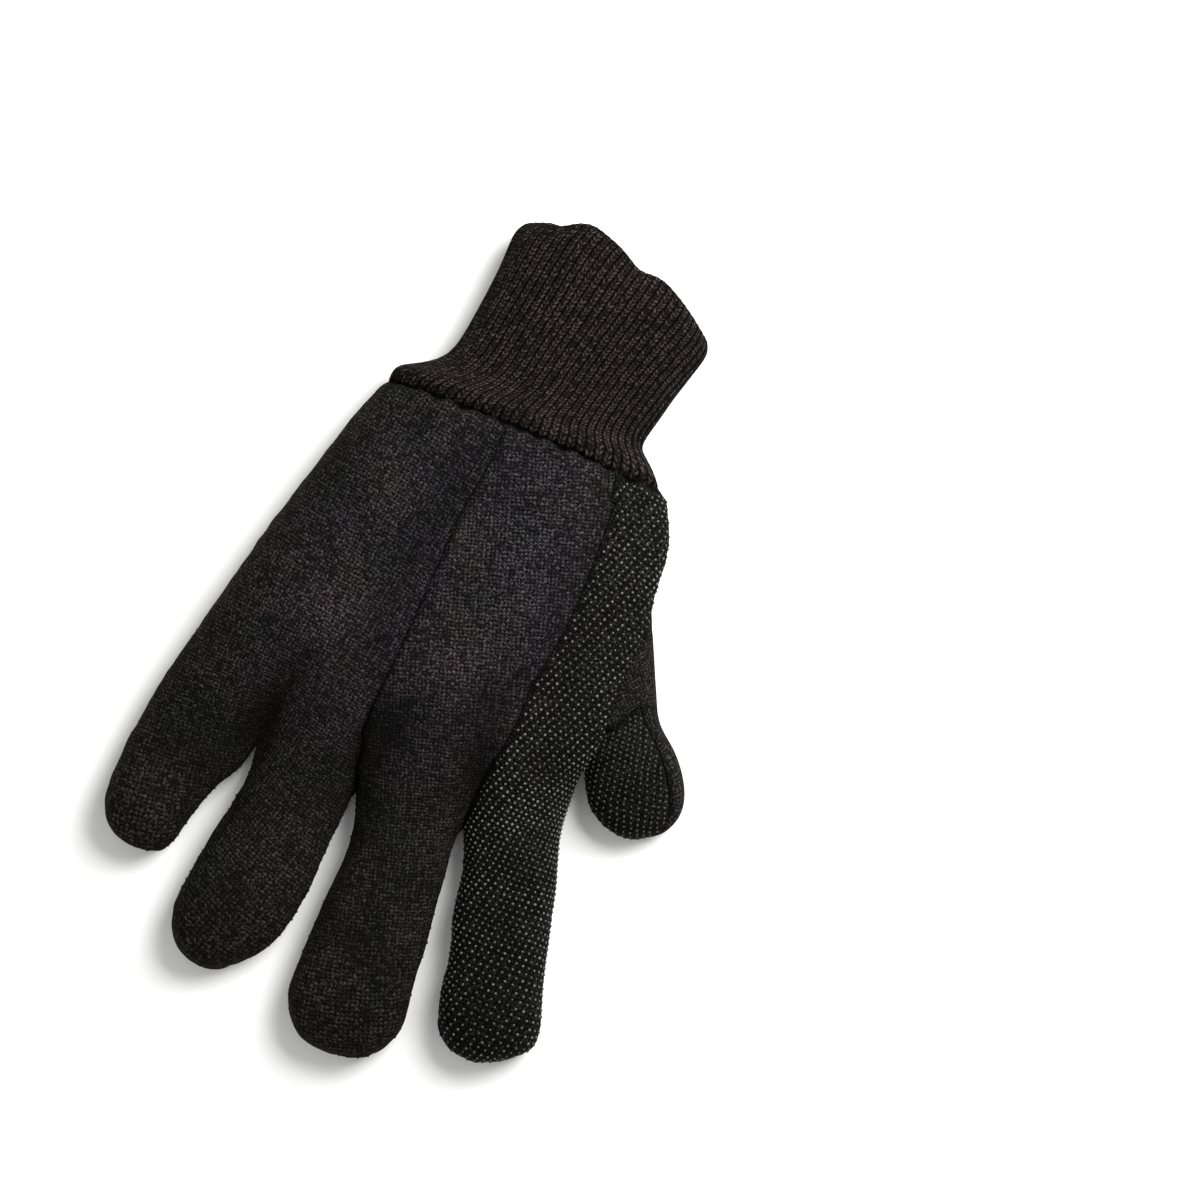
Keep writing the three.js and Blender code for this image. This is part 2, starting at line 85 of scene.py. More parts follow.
class GlovePanelSettings(bpy.types.PropertyGroup):
    """Sizes and colours of the jersey panels."""

    thickness: FloatProperty(
        name="Thickness", description="Thickness of the jersey", default=1.4 * MM, unit="LENGTH"
    )
    seam_depth: FloatProperty(
        name="Seam depth", description="How far the cloth turns in at a seam", default=0.85 * MM,
        unit="LENGTH",
    )
    seam_width: FloatProperty(
        name="Seam width", description="Reach of that turn into the panel", default=0.9 * MM,
        unit="LENGTH",
    )
    pucker: FloatProperty(
        name="Pucker", description="Height of the puckers beside a seam", default=0.22 * MM,
        unit="LENGTH",
    )
    stitch: FloatProperty(
        name="Stitch", description="Width of one knitted stitch", default=1.2 * MM, unit="LENGTH"
    )
    plain_colour: FloatVectorProperty(
        name="Plain jersey", description="Colour of the plain yarn", subtype="COLOR", size=3,
        default=linear("#181617"),
    )
    dotted_colour: FloatVectorProperty(
        name="Dotted jersey", description="Colour of the yarn between the dots", subtype="COLOR",
        size=3, default=linear("#0e0e0c"),
    )


class GloveDotSettings(bpy.types.PropertyGroup):
    """Sizes and colour of the vinyl dots."""

    across: FloatProperty(
        name="Across", description="Distance between two dots of a row", default=1.92 * MM,
        unit="LENGTH",
    )
    rows: FloatProperty(
        name="Rows", description="Distance between two rows", default=1.62 * MM, unit="LENGTH"
    )
    lean: FloatProperty(
        name="Lean", description="Shift from row to row, as a share of the distance across",
        default=-0.17,
    )
    radius: FloatProperty(
        name="Radius", description="Radius of a dot", default=0.46 * MM, unit="LENGTH"
    )
    height: FloatProperty(
        name="Height", description="Height of a dot over the cloth", default=0.34 * MM,
        unit="LENGTH",
    )
    colour: FloatVectorProperty(
        name="Vinyl", description="Colour of the dots", subtype="COLOR", size=3,
        default=linear("#403f3a"),
    )


class GloveCuffSettings(bpy.types.PropertyGroup):
    """Sizes and colour of the ribbed cuff."""

    levels: IntProperty(
        name="Levels", description="How often the cuff is subdivided", default=3, min=0, max=3
    )
    rib: FloatProperty(
        name="Rib", description="Width of one rib", default=2.4 * MM, unit="LENGTH"
    )
    relief: FloatProperty(
        name="Relief", description="Height of a rib over its groove", default=0.55 * MM,
        unit="LENGTH",
    )
    stitch: FloatProperty(
        name="Stitch", description="Length of one stitch along a rib", default=1.2 * MM,
        unit="LENGTH",
    )
    colour: FloatVectorProperty(
        name="Rib knit", description="Colour of the cuff's yarn", subtype="COLOR", size=3,
        default=linear("#1a1615"),
    )


class GloveStageSettings(bpy.types.PropertyGroup):
    """The floor, the lights and the camera."""

    floor_colour: FloatVectorProperty(
        name="Floor", description="Colour of the floor", subtype="COLOR", size=3,
        default=linear("#f4f4f3"),
    )
    camera_height: FloatProperty(
        name="Camera height", description="Height of the camera over the floor", default=1.4,
        unit="LENGTH",
    )
    key_power: FloatProperty(
        name="Key light", description="Power of the large light", default=10, unit="POWER"
    )
    fill_power: FloatProperty(
        name="Fill light", description="Power of the light opposite", default=4, unit="POWER"
    )
    sky: FloatProperty(
        name="Sky", description="Strength of the light from all round", default=0.45
    )


# Meshes


def mesh_object(name, bm):
    """A new object in the scene that takes over a bmesh."""
    mesh = bpy.data.meshes.new(name)
    bm.to_mesh(mesh)
    bm.free()
    obj = bpy.data.objects.new(name, mesh)
    bpy.context.scene.collection.objects.link(obj)
    return obj


def apply_modifiers(obj):
    """Puts what the object's modifiers make into its mesh."""
    evaluated = obj.evaluated_get(bpy.context.evaluated_depsgraph_get())
    mesh = bpy.data.meshes.new_from_object(evaluated)
    old, obj.data = obj.data, mesh
    obj.modifiers.clear()
    bpy.data.meshes.remove(old)


def add_subdivision(obj, levels):
    """A Subdivision Surface modifier that shows and renders alike."""
    modifier = obj.modifiers.new("Smooth", "SUBSURF")
    modifier.levels = modifier.render_levels = levels
    modifier.boundary_smooth = "PRESERVE_CORNERS"


def read_values(items, name, size, kind=np.float32):
    """A property of some of a mesh's items as numpy, with a row for each where it has a size."""
    flat = np.empty(len(items) * size, kind)
    items.foreach_get(name, flat)
    return flat.reshape(-1, size).astype(float) if size > 1 else flat


def coordinates(mesh):
    """A mesh's vertices as rows of numpy."""
    return read_values(mesh.vertices, "co", 3)


def normals(mesh):
    """A mesh's vertex normals as rows of numpy."""
    return read_values(mesh.vertex_normals, "vector", 3)


def cloth_map(mesh):
    """The UV place of each loop, in metres of cloth, and the loop's vertex."""
    places = read_values(mesh.uv_layers["cloth"].uv, "vector", 2)
    return places, read_values(mesh.loops, "vertex_index", 1, np.int32)


def store_values(mesh, name, values):
    """Stores a number for each vertex, for the materials to read."""
    attribute = mesh.attributes.new(name, "FLOAT", "POINT")
    attribute.data.foreach_set("value", np.asarray(values, np.float32))


def set_coordinates(mesh, points):
    """Moves a mesh's vertices."""
    mesh.vertices.foreach_set("co", points.astype(np.float32).ravel())
    mesh.update()


def shade_smooth(obj):
    """Smooth shading on every face."""
    obj.data.polygons.foreach_set("use_smooth", np.ones(len(obj.data.polygons), bool))


def rough(points, size, basis="PERLIN_ORIGINAL"):
    """Smooth noise from about -1 to 1 at some points, with waves of about this size."""
    return np.array([noise.noise(Vector(p) / size, noise_basis=basis) for p in points])


def hill(distance, reach):
    """1 at no distance, falling smoothly to about a third at the reach."""
    return np.exp(-((distance / reach) ** 2))


# The skin


def open_faces(bm, rays=96):
    """The faces that see the open air past the fingertips. The inner sides don't."""
    # The rays are spread evenly over the half of a ball that faces the fingertips.
    turn = math.pi * (3 - math.sqrt(5))
    heights = [1 - (2 * i + 1) / rays for i in range(rays)]
    flats = [math.sqrt(1 - z * z) for z in heights]
    ways = [
        Vector((r * math.cos(i * turn), r * math.sin(i * turn), z))
        for i, (r, z) in enumerate(zip(flats, heights))
    ]
    ways = [way for way in ways if way.y > 0.05]
    tree = BVHTree.FromBMesh(bm)
    found = []
    for face in bm.faces:
        start = face.calc_center_median() + face.normal * 0.05 * MM
        towards = [way for way in ways if way.dot(face.normal) > 0.1]
        free = sum(tree.ray_cast(start, way)[0] is None for way in towards)
        if free > 0.02 * len(towards):
            found.append(face)
    return found


def glove_skin():
    """One sheet over the outer sides of the cloth solids. Each face knows its panel's number."""
    bm = bmesh.new()
    panel = bm.faces.layers.int.new("panel")
    for number, node in enumerate(PANELS):
        known = len(bm.faces)
        bm.from_mesh(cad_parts[node].data)
        bm.faces.ensure_lookup_table()
        for face in bm.faces[known:]:
            face[panel] = number
    # The seams' gaps are narrower than any edge of the outer sides.
    bmesh.ops.remove_doubles(bm, verts=bm.verts, dist=0.8 * MM)
    keep = set(open_faces(bm))
    bmesh.ops.delete(bm, geom=[f for f in bm.faces if f not in keep], context="FACES")
    # Where more than two faces share an edge, those that hang loose go.
    crowded = {f for e in bm.edges if len(e.link_faces) > 2 for f in e.link_faces}
    loose = [f for f in bm.faces if f in crowded and any(e.is_boundary for e in f.edges)]
    bmesh.ops.delete(bm, geom=loose, context="FACES")
    filled = bmesh.ops.holes_fill(bm, edges=bm.edges, sides=6)["faces"]
    for face in filled:
        face[panel] = PANELS.index("palm_piece")
    bmesh.ops.join_triangles(
        bm, faces=bm.faces, angle_face_threshold=math.pi, angle_shape_threshold=math.pi
    )
    skin = mesh_object("glove_skin", bm)
    fit_cage(skin)
    add_subdivision(skin, 2)
    apply_modifiers(skin)
    return skin


def fit_cage(obj, rounds=4):
    """Moves a cage so that its smooth surface runs through the points where the cage was."""
    target = coordinates(obj.data)
    add_subdivision(obj, 2)
    for _ in range(rounds):
        evaluated = obj.evaluated_get(bpy.context.evaluated_depsgraph_get())
        reached = coordinates(evaluated.to_mesh())[: len(target)]
        evaluated.to_mesh_clear()
        set_coordinates(obj.data, coordinates(obj.data) + 0.8 * (target - reached))
    obj.modifiers.clear()


# Soft forms of the back, seen from above. The place and the reach to each side are in
# millimetres, turn is the angle of the length from the glove's length towards the little finger,
# and depth is how far the cloth sinks.
# The depth also paints shade into the jersey's colour: darker where the cloth sinks, lighter where
# it rises. The two widest dents, over the fingers and the back's middle, are there mostly to paint
# the fingers darker and the middle lighter.
DENTS = [
    dict(x=-20, y=30, length=17, width=5.5, turn=-6, depth=2.2),
    dict(x=-14, y=13, length=6, width=5, turn=0, depth=1.0),
    dict(x=11, y=36, length=16, width=6, turn=4, depth=2.2),
    dict(x=6, y=33, length=7, width=8, turn=0, depth=1.1),
    dict(x=46, y=42, length=15, width=6, turn=12, depth=2.2),
    dict(x=56, y=54, length=8, width=10, turn=30, depth=1.0),
    dict(x=40, y=24, length=9, width=7, turn=10, depth=0.8),
    dict(x=18, y=-22, length=40, width=6.5, turn=9, depth=1.3),
    dict(x=-8, y=-26, length=34, width=10, turn=6, depth=-1.1),
    dict(x=38, y=4, length=30, width=9, turn=14, depth=-0.8),
    dict(x=-33, y=-20, length=32, width=5, turn=-6, depth=0.8),
    dict(x=-30, y=6, length=4, width=12, turn=-30, depth=0.5),
    dict(x=-3, y=94, length=6, width=20, turn=10, depth=0.8),
    dict(x=36, y=98, length=9, width=9, turn=0, depth=0.7),
    dict(x=64, y=62, length=7, width=14, turn=40, depth=0.8),
    dict(x=-44, y=84, length=5, width=14, turn=-12, depth=0.6),
    dict(x=-38, y=58, length=5, width=12, turn=12, depth=0.5),
    dict(x=8, y=60, length=9, width=8, turn=0, depth=0.7),
    dict(x=5, y=95, length=36, width=70, turn=0, depth=0.5),
    dict(x=-2, y=-28, length=34, width=30, turn=6, depth=-0.5),
]
RIPPLES = [dict(size=31, height=0.65), dict(size=14, height=0.3), dict(size=6.5, height=0.06)]
PUFF = 0.45 * MM  # how far the cloth stands off its solids

# Sideways pushes that fill out the outline, in millimetres.
PUSHES = [
    dict(x=77, y=87, reach=9, dx=0.9, dy=1.2),
    dict(x=43.5, y=114.5, reach=9, dx=0.5, dy=2.1),
    dict(x=-62.5, y=103.5, reach=9, dx=-1.5, dy=1.3),
    dict(x=-50, y=115, reach=7, dx=-0.3, dy=0.9),
    dict(x=-35, y=100, reach=10, dx=1.2, dy=0.4),
    dict(x=-28, y=76, reach=11, dx=1.2, dy=0.4),
    dict(x=-23.5, y=114, reach=7, dx=-0.6, dy=0.3),
    dict(x=10.6, y=57.5, reach=4, dx=1.0, dy=-3.0),
    dict(x=-23.5, y=58, reach=4, dx=1.0, dy=-3.4),
    dict(x=43.8, y=52.6, reach=4, dx=0.5, dy=-1.4),
]


def sink(points, dents):
    """How far each of some points rises, below nought where it sinks, for a table of dents."""
    rise = np.zeros(len(points))
    for dent in dents:
        turn = math.radians(dent["turn"])
        x, y = points[:, 0] - dent["x"] * MM, points[:, 1] - dent["y"] * MM
        along = (x * math.sin(turn) + y * math.cos(turn)) / (dent["length"] * MM)
        aside = (x * math.cos(turn) - y * math.sin(turn)) / (dent["width"] * MM)
        rise -= dent["depth"] * MM * hill(np.hypot(along, aside), 1)
    return rise


def upper_side(ways):
    """1 where some normals point up, 0 where they point aside or down."""
    return np.clip(ways[:, 2] * 1.6, 0, 1)


def off_floor(points):
    """0 for points on the floor, 1 from a few millimetres above it."""
    return np.clip((points[:, 2] - 0.5 * MM) / (3 * MM), 0, 1)


def soften(skin):
    """Gives the skin's back its soft dents, and all of it slight ripples. Stores how deep each
    place lies."""
    points, ways = coordinates(skin.data), normals(skin.data)
    for push in PUSHES:
        away = np.linalg.norm(points[:, :2] / MM - (push["x"], push["y"]), axis=1)
        share = hill(away, push["reach"])[:, None]
        points[:, :2] += share * np.array([push["dx"], push["dy"]]) * MM
    rise = sink(points, DENTS) * upper_side(ways)
    lift = rise + PUFF
    for ripple in RIPPLES:
        lift += ripple["height"] * MM * rough(points, ripple["size"] * MM, "PERLIN_NEW")
    lift *= off_floor(points)
    set_coordinates(skin.data, points + ways * lift[:, None])
    # The jersey's material paints shade from this: darker where the cloth sinks, lighter where it
    # rises.
    store_values(skin.data, "rise", np.clip(rise / (2 * MM), -1, 1))


# Panels

SEAM_REACH = 6 * MM  # the "seam" attribute is 0 at a seam and 1 this far from it
FLAT_SEAM = 0.45  # how tightly the seam beside the dotted strip of the back is drawn in

# The index finger's own seam, in millimetres: from the crotch, up beside the middle finger and
# over the tip to its other side.
INDEX_SEAM = [(-22.4, 54.4, 7), (-37.5, 106, 7), (-49, 116, 7), (-61, 103, 7)]


def cheapest_path(start, end, cost):
    """The edges from one vertex to another along which the cost adds up to least."""
    best, todo, count = {start: (0, None)}, [(0, 0, start)], 1
    while todo:
        reached, _, here = heapq.heappop(todo)
        if here is end:
            break
        for edge in here.link_edges:
            there = edge.other_vert(here)
            total = reached + edge.calc_length() * cost(there)
            if total < best.get(there, (math.inf,))[0]:
                best[there] = (total, edge)
                heapq.heappush(todo, (total, count, there))
                count += 1
    edges = []
    while end is not start:
        edges.append(best[end][1])
        end = edges[-1].other_vert(end)
    return edges


def mark_seams(skin):
    """Marks every sewn edge of the skin. Gives points along them, a few tenths apart, how tightly
    each is drawn in, and the points of the wrist."""
    bm = bmesh.new()
    bm.from_mesh(skin.data)
    panel = bm.faces.layers.int["panel"]
    for edge in bm.edges:
        edge.seam = edge.is_boundary or len({f[panel] for f in edge.link_faces}) > 1
    palm = PANELS.index("palm_piece")
    cloth = [v for v in bm.verts if v.link_faces and all(f[panel] == palm for f in v.link_faces)]
    around_palm = [e for e in bm.edges if e.seam and any(f[panel] == palm for f in e.link_faces)]
    edge_of_palm = [v for e in around_palm for v in e.verts]
    stops = []
    for place in INDEX_SEAM:
        spot = Vector(place) * MM
        among = cloth if stops else edge_of_palm
        stops.append(min(among, key=lambda v: (v.co - spot).length))
    level = INDEX_SEAM[0][2] * MM

    def cost(vertex):
        return 1 + ((vertex.co.z - level) / (2 * MM)) ** 2

    for start, end in zip(stops, stops[1:]):
        for edge in cheapest_path(start, end, cost):
            edge.seam = True
    points, tight = [], []
    flat_seam = {palm, PANELS.index("back_middle")}
    for edge in [e for e in bm.edges if e.seam]:
        on_top = edge.verts[0].co.z > 12 * MM
        flat = on_top and {f[panel] for f in edge.link_faces} == flat_seam
        a, b = (v.co for v in edge.verts)
        steps = max(1, round((b - a).length / (0.3 * MM)))
        points += [a.lerp(b, step / steps) for step in range(steps + 1)]
        tight += [FLAT_SEAM if flat else 1] * (steps + 1)
    wrist = [v.co.copy() for v in bm.verts if v.is_boundary]
    bm.to_mesh(skin.data)
    bm.free()
    return points, tight, wrist


def tree_of(points):
    """A tree that finds the nearest of some points."""
    tree = KDTree(len(points))
    for number, point in enumerate(points):
        tree.insert(point, number)
    tree.balance()
    return tree


def flatten_skin(skin):
    """Unwraps the skin along its seams, each panel to its real size, with V along its stitches."""
    skin.data.uv_layers.new(name="cloth")
    bpy.context.view_layer.objects.active = skin
    bpy.ops.object.mode_set(mode="EDIT")
    bpy.ops.mesh.select_all(action="SELECT")
    bpy.ops.uv.unwrap(method="ANGLE_BASED", margin=0)
    bpy.ops.object.mode_set(mode="OBJECT")
    mesh = skin.data
    uv, corner = cloth_map(mesh)
    points, ways = coordinates(mesh)[corner], normals(mesh)[corner]
    sizes = [polygon.loop_total for polygon in mesh.polygons]
    numbers = read_values(mesh.attributes["panel"].data, "value", 1, np.int32)
    panel = np.repeat(numbers, sizes)
    for number in range(len(PANELS)):
        mine = panel == number
        # Only the side that lies flat counts: a back's from above and a palm's from below.
        facing = 1 if np.median(ways[mine, 2]) > 0 else -1
        flat = mine & (ways[:, 2] * facing > 0.8)
        a = uv[flat] - uv[flat].mean(0)
        b = points[flat][:, :2] - points[flat][:, :2].mean(0)
        left, _, right = np.linalg.svd(a.T @ b)
        scale = math.sqrt((b**2).sum() / (a**2).sum())
        lean = math.radians(GRAIN.get(PANELS[number], 0))
        turn = np.array([[math.cos(lean), math.sin(lean)], [-math.sin(lean), math.cos(lean)]])
        uv[mine] = (uv[mine] - uv[flat].mean(0)) @ (left @ right) @ turn * scale
    mesh.uv_layers["cloth"].uv.foreach_set("vector", uv.astype(np.float32).ravel())


def turn_in(skin, seams, tight, wrist, settings):
    """Sinks the cloth at its seams, puckers it beside them, and stores the distance to a seam."""
    points, ways = coordinates(skin.data), normals(skin.data)
    number, distance = np.array([seams.find(p)[1:] for p in points]).T
    depth = settings.seam_depth * np.array(tight)[number.astype(int)]
    curl = depth * (1 + 0.6 * rough(points, 15 * MM)) * hill(distance, settings.seam_width)
    beside = hill(distance, 4.5 * MM) * (1 - hill(distance, 1.2 * MM))
    lift = 2 * settings.pucker * rough(points, 4.2 * MM) * beside - curl
    # The wrist's edge is sewn down hard, and runs unevenly.
    from_wrist = np.array([wrist.find(p)[2] for p in points])
    slide = (0.1 + 1.8 * rough(points * (1, 0, 1), 4.5 * MM)) * MM
    points[:, 1] += slide * hill(from_wrist, 3 * MM)
    lift -= 0.9 * MM * hill(from_wrist, 1.6 * MM)
    points += ways * lift[:, None]
    points[:, 2] = np.maximum(points[:, 2], 0)
    set_coordinates(skin.data, points)
    # The materials paint shade into the seams and the wrist from this distance.
    distance = np.minimum(distance, np.clip(from_wrist - 0.5 * MM, 0, None))
    store_values(skin.data, "seam", np.clip(distance / SEAM_REACH, 0, 1))


def cut_panel(skin, number):
    """A copy of the skin's faces of one panel, drawn back by a hair from the panels beside it."""
    bm = bmesh.new()
    bm.from_mesh(skin.data)
    panel = bm.faces.layers.int["panel"]
    others = [face for face in bm.faces if face[panel] != number]
    bmesh.ops.delete(bm, geom=others, context="FACES")
    for vertex in [v for v in bm.verts if v.is_boundary]:
        inner = [e.other_vert(vertex).co for e in vertex.link_edges if not e.is_boundary]
        if inner:
            back = sum(inner, Vector()) / len(inner) - vertex.co
            vertex.co += back.normalized() * min(back.length / 2, 0.12 * MM)
    return mesh_object(PANELS[number] + "_cloth", bm)


def thicken(obj, thickness):
    """A closed wall, one thickness inwards."""
    wall = obj.modifiers.new("Wall", "SOLIDIFY")
    wall.thickness = thickness
    wall.offset = -1
    wall.use_even_offset = False
    apply_modifiers(obj)


# Materials


def add_node(tree, name, kind, inputs=(), **settings):
    """Adds a named node. Its inputs are listed in the order the node shows them, or keyed by
    name. Each is a value, or the name of a node, or of a node and its output."""
    node = tree.nodes.new(kind)
    node.name = name
    for key, value in settings.items():
        setattr(node, key, value)
    if isinstance(inputs, dict):
        pairs = [(node.inputs[key], value) for key, value in inputs.items()]
    else:
        pairs = zip([socket for socket in node.inputs if socket.enabled], inputs)
    for socket, value in pairs:
        if isinstance(value, str):
            source, _, output = value.partition(":")
            outputs = tree.nodes[source].outputs
            first = next(other for other in outputs if other.enabled)
            tree.links.new(outputs[output] if output else first, socket)
        else:
            socket.default_value = value


def new_material(name):
    """An empty node material, and the function that adds a node to it."""
    material = bpy.data.materials.new(name)
    material.use_nodes = True
    material.node_tree.nodes.clear()
    return material, functools.partial(add_node, material.node_tree)


def shade(colour, factor):
    """A colour times a factor, with its alpha."""
    return (*(c * factor for c in colour), 1)


def mix(node, name, share, low, high, blend="MIX"):
    """A node that mixes two colours."""
    inputs = [share, low, high]
    node(name, "ShaderNodeMix", inputs, data_type="RGBA", blend_type=blend)


def scale_range(node, name, value, low, high, to_low, to_high):
    """A node that turns one range of values into another."""
    node(name, "ShaderNodeMapRange", [value, low, high, to_low, to_high])


def calculate(node, name, operation, *values):
    """A Math node, or a Vector Math node where a value is a vector."""
    kind = "VectorMath" if any(isinstance(value, tuple) for value in values) else "Math"
    node(name, "ShaderNode" + kind, values, operation=operation)


def clouds(node, name, scale, detail=2):
    """Noise over the UV map, in waves of about 1 m divided by its scale."""
    node(name, "ShaderNodeTexNoise", {"Vector": "map", "Scale": scale, "Detail": detail})


def knit_nodes(node, place, width, height, slant, legs):
    """Nodes for columns of knitted stitches. "knit" is their height and "yarn" a number for each.
    A stitch shows its two legs, or one where the nap hides the gap between them."""
    node("split", "ShaderNodeSeparateXYZ", [place])
    calculate(node, "column", "MULTIPLY", "split:X", 1 / width)
    calculate(node, "row", "MULTIPLY", "split:Y", 1 / height)
    calculate(node, "side", "PINGPONG", "column", 0.5)
    calculate(node, "slanted", "MULTIPLY_ADD", "side", slant, "row")
    calculate(node, "turns", "MULTIPLY", "slanted", 2 * math.pi)
    calculate(node, "wave", "SINE", "turns")
    calculate(node, "leg", "MULTIPLY_ADD", "wave", 0.5, 0.5)
    calculate(node, "half_turns", "MULTIPLY", "side", legs * math.pi)
    calculate(node, "across", "SINE", "half_turns")
    calculate(node, "knit", "MULTIPLY", "leg", "across")
    calculate(node, "legs", "MULTIPLY", "column", legs)
    calculate(node, "which_leg", "FLOOR", "legs")
    calculate(node, "from_gap", "ADD", "slanted", 0.25)
    calculate(node, "which_row", "FLOOR", "from_gap")
    node("cell", "ShaderNodeCombineXYZ", ["which_leg", "which_row"])
    node("yarn", "ShaderNodeTexWhiteNoise", ["cell"], noise_dimensions="2D")


def cloth_surface(node, colour, strength):
    """Ends a cloth's material: matt, with the height of its "napped" node as bump."""
    bump = {"Height": "napped", "Strength": strength, "Distance": 0.3 * MM}
    node("bump", "ShaderNodeBump", bump)
    cotton = {"Base Color": colour, "Roughness": 0.95, "Specular IOR Level": 0.05}
    node("cloth", "ShaderNodeBsdfPrincipled", {**cotton, "Normal": "bump"})
    node("out", "ShaderNodeOutputMaterial", {"Surface": "cloth"})


def jersey_material(name, colour, settings, speck, seam_shade):
    """Napped cotton jersey: matt and soft, its columns of stitches half hidden by loose fibres,
    and spun from dark fibres with some lighter ones, which show as specks the size of a stitch.
    Speck is how light the lightest of them are, and seam_shade how much of the light a seam
    keeps."""
    material, node = new_material(name)
    node("map", "ShaderNodeUVMap", uv_map="cloth")
    clouds(node, "drift", 420, 3)
    calculate(node, "place", "MULTIPLY_ADD", "drift:Color", (1.6 * MM, 1.6 * MM, 0), "map")
    stitch = settings.stitch
    knit_nodes(node, "place", width=stitch, height=0.9 * stitch, slant=0.9, legs=1)
    # Tufts about 0.8 mm wide and fibres 0.4 mm apart in the nap, and patches of wear and handling
    # a few centimetres wide.
    clouds(node, "tuft", 1250)
    clouds(node, "fibre", 2600)
    clouds(node, "patch", 38, 3)
    # Painted shade and light from the dents: the cloth is painted darker where it sinks and
    # lighter where it rises.
    node("rise", "ShaderNodeAttribute", attribute_name="rise")
    scale_range(node, "worn", "rise:Fac", -1, 1, 0.3, 1.7)
    calculate(node, "tufted", "MULTIPLY_ADD", "tuft", 2.6, "knit")
    calculate(node, "napped", "MULTIPLY_ADD", "fibre", 0.6, "tufted")
    # Painted light and shade: the raised legs of the stitches are painted lighter and the gaps
    # between them dark. The yarns' own lightness differs at random.
    scale_range(node, "height", "napped", 1.6, 2.75, 0, 1)
    scale_range(node, "light", "yarn", 0, 1, 0.12, speck)
    calculate(node, "stitch", "MULTIPLY", "height", "light")
    scale_range(node, "handled", "patch", 0.35, 0.65, 0.8, 1.2)
    calculate(node, "rubbed", "MULTIPLY", "worn", "handled")
    calculate(node, "lit", "MULTIPLY", "stitch", "rubbed")
    mix(node, "ground", "patch", shade(colour, 0.1), shade(colour, 0.35))
    mix(node, "yarns", "lit", "ground", shade(colour, 7))
    # Painted light: the black is painted warmer and a little darker low down, and stays lighter
    # and purplish where the back stands highest.
    node("object", "ShaderNodeTexCoord")
    node("spot", "ShaderNodeSeparateXYZ", ["object:Object"])
    scale_range(node, "worn_top", "spot:Z", 18 * MM, 24 * MM, 0, 1)
    mix(node, "tint", "worn_top", (0.84, 0.9, 0.72, 1), (1, 1, 1, 1))
    mix(node, "tinted", 1, "yarns", "tint", "MULTIPLY")
    # The dye has faded a little towards red or blue in places a few centimetres wide.
    clouds(node, "faded", 42)
    calculate(
        node, "cast", "MULTIPLY_ADD", "faded:Color", (0.5, 0.15, 0.4), (0.75, 0.91, 0.8)
    )
    mix(node, "dyed", 1, "tinted", "cast", "MULTIPLY")
    # Painted shade in the grooves of the seams and at the wrist: the cloth is painted darker close
    # to them.
    node("seam", "ShaderNodeAttribute", attribute_name="seam")
    scale_range(node, "clear", "seam:Fac", 0, 0.14, seam_shade, 1)
    mix(node, "colour", "clear", shade(colour, 0.2), "dyed")
    cloth_surface(node, "colour", 0.6)
    return material


def vinyl_material(name, colour):
    """Soft vinyl (PVC) dots, printed on and cured: half glossy, so each has a small light."""
    material, node = new_material(name)
    node("tone", "ShaderNodeAttribute", attribute_name="tone")
    mix(node, "colour", "tone:Fac", shade(colour, 0.3), shade(colour, 2.4))
    # The lighter dots are the newer ones, and the glossier.
    scale_range(node, "gloss", "tone:Fac", 0, 1, 0.6, 0.34)
    node("place", "ShaderNodeTexCoord")
    # Fine unevenness of the cured surface, 0.3 mm across.
    node("grain", "ShaderNodeTexNoise", {"Vector": "place:Object", "Scale": 3000})
    node("bump", "ShaderNodeBump", {"Height": "grain", "Strength": 0.3, "Distance": 0.05 * MM})
    vinyl = {"Base Color": "colour", "Roughness": "gloss", "IOR": 1.53, "Normal": "bump"}
    node("dot", "ShaderNodeBsdfPrincipled", vinyl)
    node("out", "ShaderNodeOutputMaterial", {"Surface": "dot"})
    return material


def rib_material(name, colour, settings):
    """One by one rib in brushed cotton: a chain of stitches on each rib, shade between them."""
    material, node = new_material(name)
    node("map", "ShaderNodeUVMap", uv_map="cloth")
    clouds(node, "drift", 600)
    calculate(node, "place", "MULTIPLY_ADD", "drift:Color", (0.7 * MM, 2 * MM, 0), "map")
    knit_nodes(node, "place", width=settings.rib, height=settings.stitch, slant=1.5, legs=2)
    # The crest of a rib is where its column of stitches has its middle.
    scale_range(node, "crest", "side", 0.5, 0.2, 0, 1)
    clouds(node, "fibre", 2400)
    calculate(node, "napped", "MULTIPLY_ADD", "fibre", 0.5, "knit")
    scale_range(node, "height", "napped", 0.3, 1.1, 0, 1)
    scale_range(node, "light", "yarn", 0, 1, 0.1, 1)
    calculate(node, "lit", "MULTIPLY", "height", "light")
    calculate(node, "raised", "MULTIPLY", "lit", "crest")
    mix(node, "ground", "crest", shade(colour, 0.03), shade(colour, 0.25))
    mix(node, "yarns", "raised", "ground", shade(colour, 6))
    # Painted shade in the groove at the wrist seam: the ribs are painted darker close to it.
    node("seam", "ShaderNodeAttribute", attribute_name="seam")
    scale_range(node, "clear", "seam:Fac", 0.06, 0.18, 0, 1)
    mix(node, "colour", "clear", shade(colour, 0.15), "yarns")
    cloth_surface(node, "colour", 0.7)
    return material


def paper_material(name, colour):
    """Matt white background paper, with the faintest clouding."""
    material, node = new_material(name)
    node("place", "ShaderNodeTexCoord")
    node("cloud", "ShaderNodeTexNoise", {"Vector": "place:Object", "Scale": 6})
    mix(node, "colour", "cloud", shade(colour, 0.985), shade(colour, 1))
    node("paper", "ShaderNodeBsdfPrincipled", {"Base Color": "colour", "Roughness": 0.9})
    node("out", "ShaderNodeOutputMaterial", {"Surface": "paper"})
    return material


# Dots

DOT_MARGIN = 0.16  # no dot is nearer to a seam than this share of SEAM_REACH
DOT_SINK = 0.25  # how far a dot reaches into the cloth, as a share of its height
DOTS_A_PART = 4000  # a dot has 46 triangles, so a mesh of dots stays under 200,000


